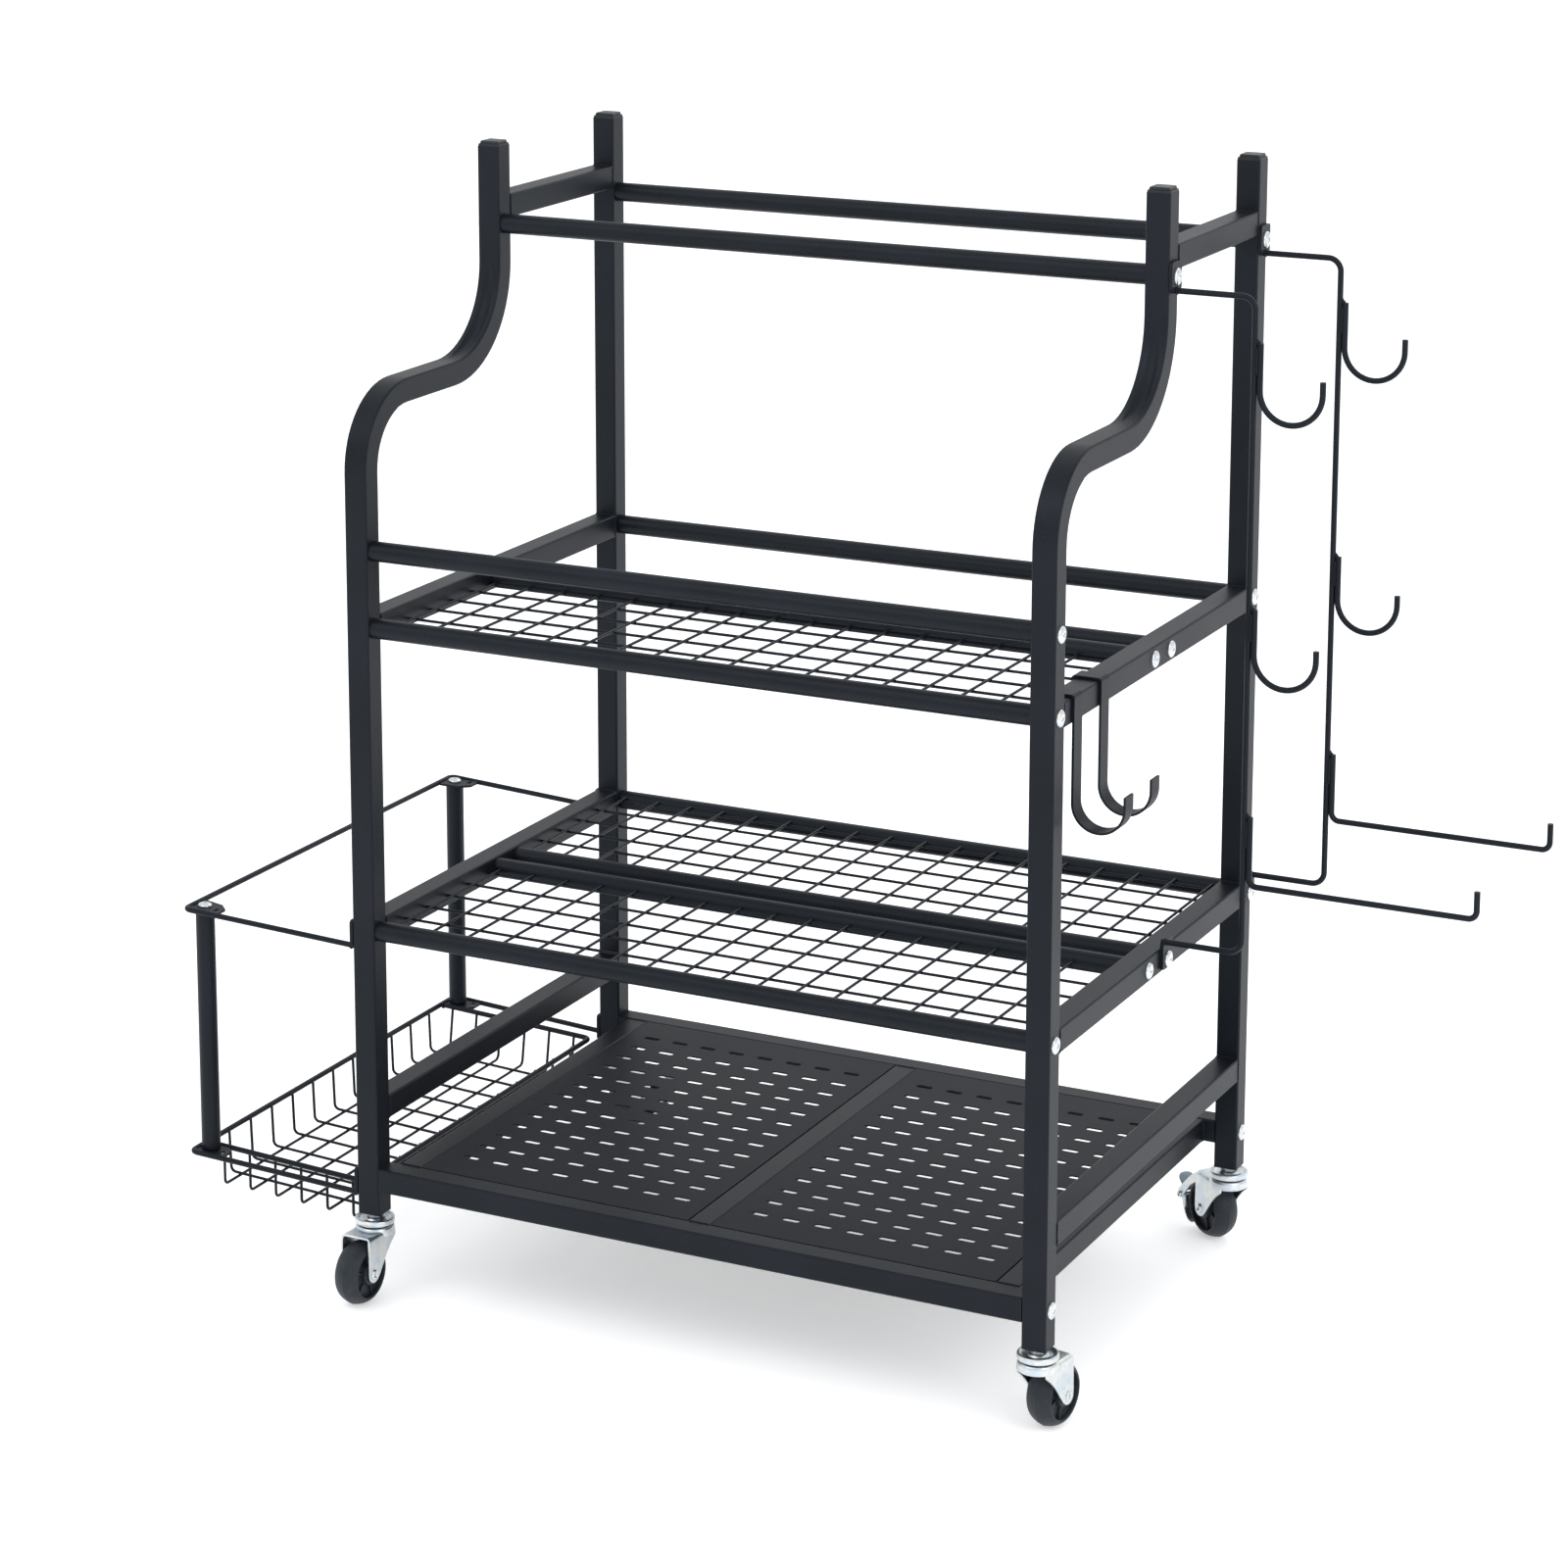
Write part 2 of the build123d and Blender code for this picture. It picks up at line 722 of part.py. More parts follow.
def wheel():
    # moulded wheel with a crowned tread and recessed hub faces
    half = wheel_width / 2
    hub = 9.5
    web = 6.5
    profile = Polyline(
        (3.3, -half),
        (hub, -half),
        (hub, -web),
        (wheel_radius - 7.0, -web),
        (wheel_radius - 6.4, -half + 0.2),
        (wheel_radius - 4.4, -half + 0.9),
        (wheel_radius - 2.6, -half + 3.0),
        (wheel_radius - 1.1, -half + 5.8),
        (wheel_radius, 0),
        (wheel_radius - 1.1, half - 5.8),
        (wheel_radius - 2.6, half - 3.0),
        (wheel_radius - 4.4, half - 0.9),
        (wheel_radius - 6.4, half - 0.2),
        (wheel_radius - 7.0, web),
        (hub, web),
        (hub, half),
        (3.3, half),
        close=True,
    )
    spin = revolve(Plane.XY * make_face(profile), Axis.Y)
    return Pos(trail, 0, wheel_radius) * spin


def pins(braked):
    # riveted axle, and the brake lever pin where there is a brake
    outer = leg_gap + leg_thick
    axle = along_y(3.0, 2 * outer + 0.2)
    for side in (-1, 1):
        axle += Pos(0, side * (outer + 0.9), 0) * along_y(4.4, 1.6)
    parts = [Pos(trail, 0, wheel_radius) * axle]
    if braked:
        pin = along_y(2.0, 2 * outer + 0.2)
        for side in (-1, 1):
            pin += Pos(0, side * (outer + 0.6), 0) * along_y(3.2, 1.0)
        parts.append(Pos(brake_pin_x, 0, brake_pin_z) * pin)
    return parts


def brake_lever():
    # pressed lever: a tongue to step on above its pin, a shoe below it that wraps the tread
    half = brake_half_width
    cheek = [
        (54.0, 32.5),
        (60.4, 32.5),
        (60.4, 24.0),
        (56.6, 15.0),
        (53.6, 15.6),
        (54.0, 24.0),
    ]
    side = make_face(Polyline(*cheek, close=True))
    lever = Pos(0, half, 0) * extrude(Plane.XZ * side, 1.4)
    lever += Pos(0, -half + 1.4, 0) * extrude(Plane.XZ * side, 1.4)
    back = [
        (60.4, 31.4),
        (73.4, 40.2),
        (73.9, 41.4),
        (72.6, 42.0),
        (59.6, 33.6),
        (58.8, 32.2),
        (58.8, 24.4),
        (55.2, 15.4),
        (50.6, 8.6),
        (45.6, 6.0),
        (45.9, 4.4),
        (51.6, 7.2),
        (56.6, 14.8),
        (60.4, 24.0),
    ]
    lever += extrude(Plane.XZ * make_face(Polyline(*back, close=True)), half, both=True)
    lever -= Pos(brake_pin_x, 0, brake_pin_z) * along_y(2.15, 60)
    return lever


caster_spots = [
    ("front_left", -post_x, -post_y, -92.0, False),
    ("front_right", post_x, -post_y, 81.0, False),
    ("rear_left", -post_x, post_y, 65.0, True),
    ("rear_right", post_x, post_y, 142.0, True),
]
stems = []
plugs = []
for name, x, y, heading, braked in caster_spots:
    place = Pos(x, y, 0) * Rot(0, 0, heading)
    stems.append(place * stem())
    plugs.append(Pos(x, y, 0) * foot_plug())
    save(place * fork(braked), "caster_fork_" + name)
    save(place * wheel(), "caster_wheel_" + name)
    save(group([place * pin for pin in pins(braked)]), "caster_pins_" + name)
    if braked:
        save(place * brake_lever(), "brake_lever_" + name)
save(group(stems), "caster_stems")
save(group(plugs), "post_foot_plugs")
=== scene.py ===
import json
import math
import random

import bpy
import bmesh
from mathutils import Matrix, Vector


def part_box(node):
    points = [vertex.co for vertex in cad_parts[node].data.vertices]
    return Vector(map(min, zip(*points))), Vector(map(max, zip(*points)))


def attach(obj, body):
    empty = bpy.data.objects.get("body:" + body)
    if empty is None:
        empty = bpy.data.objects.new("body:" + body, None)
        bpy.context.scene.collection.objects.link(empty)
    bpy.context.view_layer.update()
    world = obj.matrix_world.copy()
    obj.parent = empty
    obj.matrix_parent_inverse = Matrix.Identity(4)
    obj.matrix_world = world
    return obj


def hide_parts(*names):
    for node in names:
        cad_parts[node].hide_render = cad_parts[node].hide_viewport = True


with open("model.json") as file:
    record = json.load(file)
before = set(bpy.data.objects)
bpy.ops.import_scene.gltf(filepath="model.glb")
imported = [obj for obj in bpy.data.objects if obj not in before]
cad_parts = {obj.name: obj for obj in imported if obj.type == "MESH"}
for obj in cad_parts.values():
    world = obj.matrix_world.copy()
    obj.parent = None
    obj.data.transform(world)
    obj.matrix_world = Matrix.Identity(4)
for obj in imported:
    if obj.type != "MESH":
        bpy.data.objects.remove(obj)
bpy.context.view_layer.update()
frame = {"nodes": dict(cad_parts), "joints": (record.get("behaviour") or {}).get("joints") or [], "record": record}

nodes = frame["nodes"]
joints = {joint["name"]: joint for joint in frame["joints"]}
print("frame loaded:", len(nodes), "parts")


# ---- shader sums

class Sock:
    # wraps a node's output so that shader sums read as ordinary Python
    def __init__(self, tree, out=None):
        self.tree = tree
        self.out = out

    def feed(self, slot, value):
        if isinstance(value, Sock):
            self.tree.links.new(value.out, slot)
        else:
            slot.default_value = value

    def node(self, kind, settings, values, output=0):
        made = self.tree.nodes.new("ShaderNode" + kind)
        for key, value in settings.items():
            setattr(made, key, value)
        for key, value in values.items():
            self.feed(made.inputs[key], value)
        return Sock(self.tree, made.outputs[output])

    def maths(self, operation, first, second=0.0):
        return self.node("Math", {"operation": operation}, {0: first, 1: second})

    def __add__(self, other):
        return self.maths("ADD", self, other)

    def __sub__(self, other):
        return self.maths("SUBTRACT", self, other)

    def __mul__(self, other):
        return self.maths("MULTIPLY", self, other)

    def __rsub__(self, other):
        return self.maths("SUBTRACT", other, self)

    __radd__ = __add__

    def between(self, low, high):
        # 0 below low, 1 above high, smooth in between
        return self.node("MapRange", {"interpolation_type": "SMOOTHSTEP"},
                         {"Value": self, "From Min": low, "From Max": high})

    def mixed(self, first, second):
        # this socket is the share of the second colour
        return self.node("Mix", {"data_type": "RGBA"}, {0: self, 6: first, 7: second}, 2)


def colour(red, green, blue):
    return (red, green, blue, 1.0)


def newFinish(name):
    finish = bpy.data.materials.new(name)
    finish.use_nodes = True
    return finish, Sock(finish.node_tree)


def setSurface(finish, values):
    shader = finish.node_tree.nodes["Principled BSDF"]
    start = Sock(finish.node_tree)
    for key, value in values.items():
        start.feed(shader.inputs[key], value)


def noise(start, place, scale, detail=3.0, rough=0.5):
    values = {"Vector": place, "Scale": scale, "Detail": detail, "Roughness": rough}
    return start.node("TexNoise", {}, values, "Fac")


def edgeMask(start, radius):
    # 1 where the surface turns sharply within the radius
    plain = start.node("NewGeometry", {}, {}, "Normal")
    soft = start.node("Bevel", {"samples": 4}, {"Radius": radius})
    match = start.node("VectorMath", {"operation": "DOT_PRODUCT"}, {0: plain, 1: soft}, "Value")
    return (1 - match).between(0.02, 0.22)


# ---- finishes

coolTint = (0.80, 0.90, 1.0)  # tints the gloss of the black coats and plastics


def powderCoat(name, look):
    finish, start = newFinish(name)
    place = start.node("TexCoord", {}, {}, "Object")
    cloud = noise(start, place, look["cloudScale"], 2.0)
    peel = noise(start, place, look["peelScale"], 2.0, 0.45)
    grain = noise(start, place, look["grainScale"], 1.0)
    speck = noise(start, place, look["speckScale"], 0.0).between(0.70, 0.78)
    shade = cloud.between(0.3, 0.7).mixed(colour(*look["dark"]), colour(*look["light"]))
    shade = (speck * look["speckShare"]).mixed(shade, colour(*look["speck"]))
    gloss = look["roughness"] + (cloud - 0.5) * look["glossChange"] + (grain - 0.5) * 0.10 + speck * 0.12
    if look["edge"]:
        worn = edgeMask(start, look["edge"]) * noise(start, place, 90.0, 3.0).between(0.35, 0.75)
        shade = (worn * look["edgeShare"]).mixed(shade, colour(*look["edgeColour"]))
        gloss = gloss - worn * 0.10
    height = peel * 0.75 + grain * 0.25
    bump = start.node("Bump", {}, {"Strength": look["bump"], "Distance": look["bumpDepth"], "Height": height})
    setSurface(finish, {"Base Color": shade, "Roughness": gloss, "Normal": bump,
                        "Specular IOR Level": look["shine"], "Specular Tint": colour(*coolTint)})
    return finish


tubeLook = {
    "dark": (0.0050, 0.0064, 0.0094), "light": (0.0080, 0.0098, 0.0138), "cloudScale": 9.0,
    "peelScale": 620.0, "grainScale": 2600.0, "speckScale": 1500.0, "speckShare": 0.35,
    "speck": (0.045, 0.048, 0.052), "roughness": 0.42, "glossChange": 0.12, "bump": 0.32,
    "bumpDepth": 0.00018, "shine": 0.19, "edge": 0.0016, "edgeShare": 0.30, "edgeColour": (0.055, 0.058, 0.062),
}
wireLook = dict(tubeLook, peelScale=900.0, edge=0.0, shine=0.17)
sheetLook = dict(tubeLook, cloudScale=7.0, roughness=0.52, shine=0.16, edge=0.0008)
hookLook = dict(tubeLook, peelScale=760.0, roughness=0.44, edge=0.0008)
weldLook = dict(tubeLook, peelScale=420.0, roughness=0.50, edge=0.0, bump=0.5)


def zincPlate(name, look):
    finish, start = newFinish(name)
    place = start.node("TexCoord", {}, {}, "Object")
    tint = noise(start, place, look["tintScale"], 2.0)
    patch = noise(start, place, look["patchScale"], 4.0, 0.6)
    long = start.node("Mapping", {}, {"Vector": place, "Scale": look["scratchStretch"]})
    scratch = noise(start, long, look["scratchScale"], 3.0, 0.7).between(0.56, 0.66)
    shade = tint.between(0.35, 0.65).mixed(colour(*look["cool"]), colour(*look["warm"]))
    shade = (patch.between(0.45, 0.75) * 0.45).mixed(shade, colour(*look["dull"]))
    dirt = edgeMask(start, look["edge"]) * patch.between(0.4, 0.7)
    shade = (dirt * look["edgeShare"]).mixed(shade, colour(*look["edgeColour"]))
    gloss = look["roughness"] + (patch - 0.5) * 0.22 + scratch * 0.10
    height = patch * 0.6 + scratch * 0.4
    bump = start.node("Bump", {}, {"Strength": look["bump"], "Distance": 0.00008, "Height": height})
    setSurface(finish, {"Base Color": shade, "Roughness": gloss, "Normal": bump, "Metallic": 1.0})
    return finish


screwLook = {
    "cool": (0.62, 0.67, 0.72), "warm": (0.74, 0.74, 0.70), "dull": (0.44, 0.47, 0.50), "tintScale": 160.0,
    "patchScale": 700.0, "scratchScale": 900.0, "scratchStretch": (1.0, 1.0, 0.25), "roughness": 0.26,
    "bump": 0.30, "edge": 0.0005, "edgeShare": 0.35, "edgeColour": (0.30, 0.31, 0.32),
}
forkLook = dict(screwLook, cool=(0.56, 0.63, 0.69), warm=(0.70, 0.71, 0.70), tintScale=70.0, patchScale=260.0,
                roughness=0.32, edge=0.0009)


def mouldedPlastic(name, look):
    finish, start = newFinish(name)
    place = start.node("TexCoord", {}, {}, "Object")
    cloud = noise(start, place, look["cloudScale"], 3.0)
    grain = noise(start, place, look["grainScale"], 2.0, 0.6)
    shade = cloud.between(0.3, 0.7).mixed(colour(*look["dark"]), colour(*look["light"]))
    dust = noise(start, place, look["dustScale"], 5.0, 0.65).between(0.52, 0.80)
    shade = (dust * look["dustShare"]).mixed(shade, colour(*look["dust"]))
    scuff = edgeMask(start, look["edge"]) * cloud.between(0.35, 0.6)
    shade = (scuff * look["edgeShare"]).mixed(shade, colour(*look["dust"]))
    gloss = look["roughness"] + (cloud - 0.5) * 0.16 + dust * 0.12
    bump = start.node("Bump", {}, {"Strength": look["bump"], "Distance": 0.0001, "Height": grain})
    setSurface(finish, {"Base Color": shade, "Roughness": gloss, "Normal": bump,
                        "Specular IOR Level": look["shine"], "Specular Tint": colour(*coolTint)})
    return finish


wheelLook = {
    "dark": (0.012, 0.0145, 0.0180), "light": (0.021, 0.0245, 0.0290), "cloudScale": 55.0,
    "grainScale": 1600.0,
    "dustScale": 130.0, "dustShare": 0.30, "dust": (0.075, 0.076, 0.078), "roughness": 0.50, "bump": 0.30,
    "edge": 0.0012, "edgeShare": 0.35, "shine": 0.33,
}
capLook = dict(wheelLook, dark=(0.010, 0.0105, 0.0115), light=(0.016, 0.0165, 0.018), roughness=0.42,
               dustShare=0.10, grainScale=3000.0, edge=0.0007)
plugLook = dict(capLook, roughness=0.6)
raceLook = dict(capLook, dark=(0.008, 0.008, 0.008), light=(0.020, 0.018, 0.015), roughness=0.38)


def coatedBrake(name, look):
    finish, start = newFinish(name)
    place = start.node("TexCoord", {}, {}, "Object")
    cloud = noise(start, place, look["cloudScale"], 3.0)
    rub = noise(start, place, look["rubScale"], 5.0, 0.7)
    bare = (edgeMask(start, look["edge"]) * 0.9 + (1 - cloud) * 0.25) * rub.between(0.38, 0.62)
    height = start.node("SeparateXYZ", {}, {0: place}, "Z") + (cloud - 0.5) * 0.004
    low = 1 - height.between(*look["coatLine"])  # the shoe under the pin is plain zinc
    bare = start.maths("MAXIMUM", bare.between(0.12, 0.6), low * 0.95)
    shade = cloud.between(0.3, 0.7).mixed(colour(*look["dark"]), colour(*look["light"]))
    shade = bare.mixed(shade, colour(*look["steel"]))
    gloss = look["roughness"] + (rub - 0.5) * 0.2 - bare * 0.06
    bump = start.node("Bump", {}, {"Strength": look["bump"], "Distance": 0.0001, "Height": rub})
    metal = 0.75 + bare * 0.25
    setSurface(finish, {"Base Color": shade, "Roughness": gloss, "Normal": bump, "Metallic": metal})
    return finish


brakeLook = {
    "dark": (0.10, 0.135, 0.165), "light": (0.19, 0.235, 0.27), "steel": (0.60, 0.63, 0.65),
    "roughness": 0.34, "cloudScale": 60.0, "rubScale": 420.0, "edge": 0.0012, "coatLine": (0.027, 0.031),
    "bump": 0.3,
}

finishes = {
    "blackTube": powderCoat("blackTubeCoat", tubeLook),
    "blackWire": powderCoat("blackWireCoat", wireLook),
    "blackSheet": powderCoat("blackSheetCoat", sheetLook),
    "blackHook": powderCoat("blackHookCoat", hookLook),
    "weld": powderCoat("coatedWeld", weldLook),
    "screw": zincPlate("zincScrew", screwLook),
    "fork": zincPlate("zincFork", forkLook),
    "wheel": mouldedPlastic("wheelPlastic", wheelLook),
    "cap": mouldedPlastic("capPlastic", capLook),
    "plug": mouldedPlastic("plugPlastic", plugLook),
    "brake": coatedBrake("coatedBrakeSteel", brakeLook),
    "race": mouldedPlastic("greasedRace", raceLook),
}
slotFinish = {
    "black_tube": "blackTube", "black_wire": "blackWire", "black_sheet": "blackSheet",
    "black_hook": "blackHook", "screw": "screw", "fork": "fork", "rivet": "screw", "brake": "brake",
    "wheel": "wheel", "cap": "cap", "plug": "plug",
}
for part in frame["record"]["subparts"]:
    piece = nodes[part["node"]]
    finish = finishes[slotFinish[part["material_slot"]]]
    piece.data.materials.clear()
    piece.data.materials.append(finish)
print("finishes made:", len(finishes))


# ---- mesh helpers, all lengths in metres

def mm(*values):
    return [value / 1000 for value in values]


def makePiece(name, mesh, finish, body, stands=(), sharp=38):
    bmesh.ops.recalc_face_normals(mesh, faces=mesh.faces)
    data = bpy.data.meshes.new(name)
    mesh.to_mesh(data)
    mesh.free()
    data.materials.append(finishes[finish])
    data.shade_smooth()
    data.set_sharp_from_angle(angle=math.radians(sharp))
    piece = bpy.data.objects.new(name, data)
    bpy.context.scene.collection.objects.link(piece)
    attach(piece, body)
    if stands:
        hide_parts(*stands)
    return piece


def rounded(points, radius, steps=4, closed=True):
    # turns each corner of a flat outline into a small arc
    made = []
    for i, spot in enumerate(points):
        corner = Vector(spot)
        if not closed and i in (0, len(points) - 1):
            made.append(corner)
            continue
        back = Vector(points[i - 1]) - corner
        ahead = Vector(points[(i + 1) % len(points)]) - corner
        cut = min(radius, back.length * 0.48, ahead.length * 0.48)
        first = corner + back.normalized() * cut
        last = corner + ahead.normalized() * cut
        for step in range(steps + 1):
            t = step / steps
            made.append(first * (1 - t) ** 2 + corner * 2 * t * (1 - t) + last * t * t)
    return made


def joinRings(mesh, rings, closed=False):
    pairs = zip(rings, rings[1:] + rings[:1]) if closed else zip(rings, rings[1:])
    for low, high in pairs:
        count = max(len(low), len(high))
        for i in range(count):
            j = (i + 1) % count
            if len(low) == 1:
                mesh.faces.new((low[0], high[i], high[j]))
            elif len(high) == 1:
                mesh.faces.new((low[i], low[j], high[0]))
            else:
                mesh.faces.new((low[i], low[j], high[j], high[i]))


def onCircle(radius, angle, height=0.0):
    return Vector((radius * math.cos(angle), radius * math.sin(angle), height))


def lathe(mesh, profile, place, steps=64, closed=False):
    # profile holds (radius, height) pairs, turned round local Z
    rings = []
    for radius, height in profile:
        if radius < 1e-7:
            rings.append([mesh.verts.new(place @ Vector((0, 0, height)))])
            continue
        ring = []
        for i in range(steps):
            ring.append(mesh.verts.new(place @ onCircle(radius, math.tau * i / steps, height)))
        rings.append(ring)
    joinRings(mesh, rings, closed)


def insetOutline(outline, amount):
    made = []
    area = sum(a.x * b.y - b.x * a.y for a, b in zip(outline, outline[1:] + outline[:1]))
    side = 1 if area > 0 else -1
    for i, spot in enumerate(outline):
        back = (spot - outline[i - 1]).normalized()
        ahead = (outline[(i + 1) % len(outline)] - spot).normalized()
        lean = Vector((-(back.y + ahead.y), back.x + ahead.x)) * side
        if lean.length < 1e-6:
            lean = Vector((-back.y, back.x)) * side
        made.append(spot + lean.normalized() * amount)
    return made


def plate(mesh, outline, low, high, edge, place):
    # flat sheet: the outline lies in local X and Y, the thickness runs along local Z
    rows = [(low, edge), (low + edge * 0.3, edge * 0.3), (low + edge, 0.0)]
    rows += [(high - edge, 0.0), (high - edge * 0.3, edge * 0.3), (high, edge)]
    rings = []
    for height, inset in rows:
        flat = insetOutline(outline, inset) if inset else outline
        rings.append([mesh.verts.new(place @ Vector((spot.x, spot.y, height))) for spot in flat])
    joinRings(mesh, rings)
    mesh.faces.new(rings[0])
    mesh.faces.new(rings[-1])


def weldBead(mesh, path, radius, draw, closed=False, sides=9):
    # a rippled run of weld metal that follows the points
    spots = []
    points = path + path[:1] if closed else path
    for start, end in zip(points, points[1:]):
        count = max(1, round((end - start).length / 0.0006))
        spots.extend(start.lerp(end, i / count) for i in range(count))
    if not closed:
        spots.append(points[-1])
    rings = []
    phase = draw.uniform(0, 6)
    for i, spot in enumerate(spots):
        back = spots[i - 1] if i or closed else spot
        ahead = spots[(i + 1) % len(spots)] if i + 1 < len(spots) or closed else spot
        along = (ahead - back).normalized()
        turn = along.to_track_quat("Z", "Y").to_matrix()
        share = 1.0
        if not closed:
            share = min(1.0, 0.25 + min(i, len(spots) - 1 - i) / 3)
        size = radius * share * (1 + 0.10 * math.sin(phase + i * 2.1) + draw.uniform(-0.07, 0.07))
        ring = []
        for k in range(sides):
            ring.append(mesh.verts.new(spot + turn @ onCircle(size, math.tau * k / sides)))
        rings.append(ring)
    joinRings(mesh, rings, closed)
    if not closed:
        mesh.faces.new(rings[0])
        mesh.faces.new(rings[-1])


# ---- pan head screws

screwShape = {
    "head": 0.0070, "height": 0.0032, "recessReach": 0.0031, "recessHalf": 0.00078, "recessDepth": 0.0021,
    "rings": 26, "innerRings": 16, "steps": 72, "shank": 0.0030, "shankLength": 0.008,
}


def screwHeight(shape, x, y):
    # dome with a tapered cross recess
    radius = math.hypot(x, y) / shape["head"]
    height = shape["height"] * (0.26 + 0.74 * math.sqrt(max(0.0, 1 - radius ** 2.3)))
    depth = 0.0
    for along, across in ((abs(x), abs(y)), (abs(y), abs(x))):
        half = shape["recessHalf"] * (1 - 0.35 * along / shape["recessReach"])
        wall = min(1.0, max(0.0, (half - across) / 0.00030))
        reach = min(1.0, max(0.0, (shape["recessReach"] - along) / 0.0016))
        depth = max(depth, wall * reach ** 0.7)
    return height - shape["recessDepth"] * depth


def addScrew(mesh, shape, place):
    rings = [[mesh.verts.new(place @ Vector((0, 0, screwHeight(shape, 0, 0))))]]
    inner = shape["innerRings"]
    radii = [shape["recessReach"] * 1.12 * (i + 1) / inner for i in range(inner)]
    outer = shape["rings"] - inner
    start = radii[-1]
    radii += [start + (shape["head"] - start) * math.sin((i + 1) / outer * math.pi / 2) for i in range(outer)]
    for radius in radii:
        ring = []
        for i in range(shape["steps"]):
            angle = math.tau * i / shape["steps"]
            x, y = radius * math.cos(angle), radius * math.sin(angle)
            ring.append(mesh.verts.new(place @ Vector((x, y, screwHeight(shape, x, y)))))
        rings.append(ring)
    end = -shape["shankLength"]
    for radius, height in ((shape["head"], 0.0), (shape["shank"], 0.0), (shape["shank"], end)):
        ring = []
        for i in range(shape["steps"]):
            ring.append(mesh.verts.new(place @ onCircle(radius, math.tau * i / shape["steps"], height)))
        rings.append(ring)
    rings.append([mesh.verts.new(place @ Vector((0, 0, end)))])
    joinRings(mesh, rings)


def barSpots(node):
    # centre lines of the bars in a node that holds one or two of them
    low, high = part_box(node)
    half = (high.z - low.z) / 2
    if high.y - low.y > 3 * half:
        return [(low.y + half, (low.z + high.z) / 2), (high.y - half, (low.z + high.z) / 2)]
    return [((low.y + high.y) / 2, (low.z + high.z) / 2)]


def makeFrameScrews():
    draw = random.Random(21)
    tab = 0.003
    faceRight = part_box("post_rear_right")[1].x
    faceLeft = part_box("post_rear_left")[0].x
    rows = [
        ("top_bar_front", [tab], [0]), ("top_bar_rear", [tab], [0]), ("tier2_guard_bar", [0], [0]),
        ("tier2_bar_front", [0], [0]), ("tier2_bars_middle", [0, 0], [0, 0]), ("tier2_bar_rear", [0], [0]),
        ("tier3_bar_front", [0], [tab]), ("tier3_bars_middle", [0, tab], [0, 0]),
        ("tier3_bar_rear", [tab], [tab]),
        ("shelf_rail_front", [0], [tab]), ("shelf_rail_rear", [0], [tab]),
    ]
    mesh = bmesh.new()
    for node, right, left in rows:
        for spot, rightTab, leftTab in zip(barSpots(node), right, left):
            for x, turn in ((faceRight + rightTab, 90), (faceLeft - leftTab, -90)):
                place = Matrix.Translation((x, *spot)) @ Matrix.Rotation(math.radians(turn), 4, "Y")
                addScrew(mesh, screwShape, place @ Matrix.Rotation(draw.uniform(0, math.tau), 4, "Z"))
    makePiece("frameScrews", mesh, "screw", "frame", ["frame_screws"], 50)


# the side holder leans outwards a little; the weld code below uses these sizes too
holder = {
    "lean": 2.7, "rodHalf": 0.0024, "outer": -0.486, "halfDepth": 0.225, "tab": 0.003, "tabY": 0.222,
    "basketY": 0.200, "ringZ": {"holder_ring_upper": 0.3113, "holder_ring_lower": 0.0913},
}


def makeHolderScrews():
    draw = random.Random(8)
    shape = dict(screwShape, head=0.0060, height=0.0028, recessReach=0.0026, recessHalf=0.0007, shank=0.0025,
                 recessDepth=0.0018)
    low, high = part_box("holder_tubes")
    half = (high.x - low.x) / 2
    lift = 0.0031
    mesh = bmesh.new()
    for y in (low.y + half, high.y - half):
        for z, turn in ((high.z + lift, 0), (low.z - lift, 180)):
            place = Matrix.Translation(((low.x + high.x) / 2, y, z))
            place = place @ Matrix.Rotation(math.radians(holder["lean"]), 4, "Y")
            place = place @ Matrix.Rotation(math.radians(turn), 4, "X")
            addScrew(mesh, shape, place @ Matrix.Rotation(draw.uniform(0, math.tau), 4, "Z"))
    makePiece("holderScrews", mesh, "screw", "frame", ["holder_screws"], 50)


makeFrameScrews()
makeHolderScrews()
print("screws made")


# ---- welds on the frame

weldSizes = {"rail": 0.0010, "flush": 0.0004, "rod": 0.0012, "hook": 0.0019, "plate": 0.0009}
hookRail = {"rodHalf": 0.0025, "tabHalf": 0.0105, "tab": 0.003, "topZ": 0.8835, "lowZ": 0.3417,
            "shankTops": (0.8468, 0.6302, 0.4578)}


def squareLoop(centre, half, corner):
    # loop round a square tube whose length runs along Y
    flat = rounded([(-half, -half), (half, -half), (half, half), (-half, half)], corner, 3)
    return [Vector((centre[0] + spot.x, centre[1], centre[2] + spot.y)) for spot in flat]


def ringLoop(centre, radius):
    # loop round a rod that runs along X
    spots = []
    for i in range(14):
        turn = onCircle(radius, math.tau * i / 14)
        spots.append(Vector((centre[0], centre[1] + turn.x, centre[2] + turn.y)))
    return spots


def makeRailWelds():
    draw = random.Random(5)
    mesh = bmesh.new()
    rails = ["top_rail", "tier2_rail", "tier3_rail", "low_guard_rail", "shelf_rail"]
    names = [rail + side for rail in rails for side in ("_left", "_right")] + ["shelf_divider"]
    for node in names:
        low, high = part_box(node)
        middle = (low + high) / 2
        half = (high.z - low.z) / 2
        for y, way in ((low.y, 1), (high.y, -1)):
            # dressed back at the post that the front strip hook slides up to
            size = weldSizes["flush" if node == "tier2_rail_right" and way == 1 else "rail"]
            loop = squareLoop((middle.x, y + way * 0.3 * size, middle.z), half - 0.0002, 0.0024)
            weldBead(mesh, loop, size, draw, closed=True, sides=7)
    makePiece("railWelds", mesh, "weld", "frame", sharp=60)


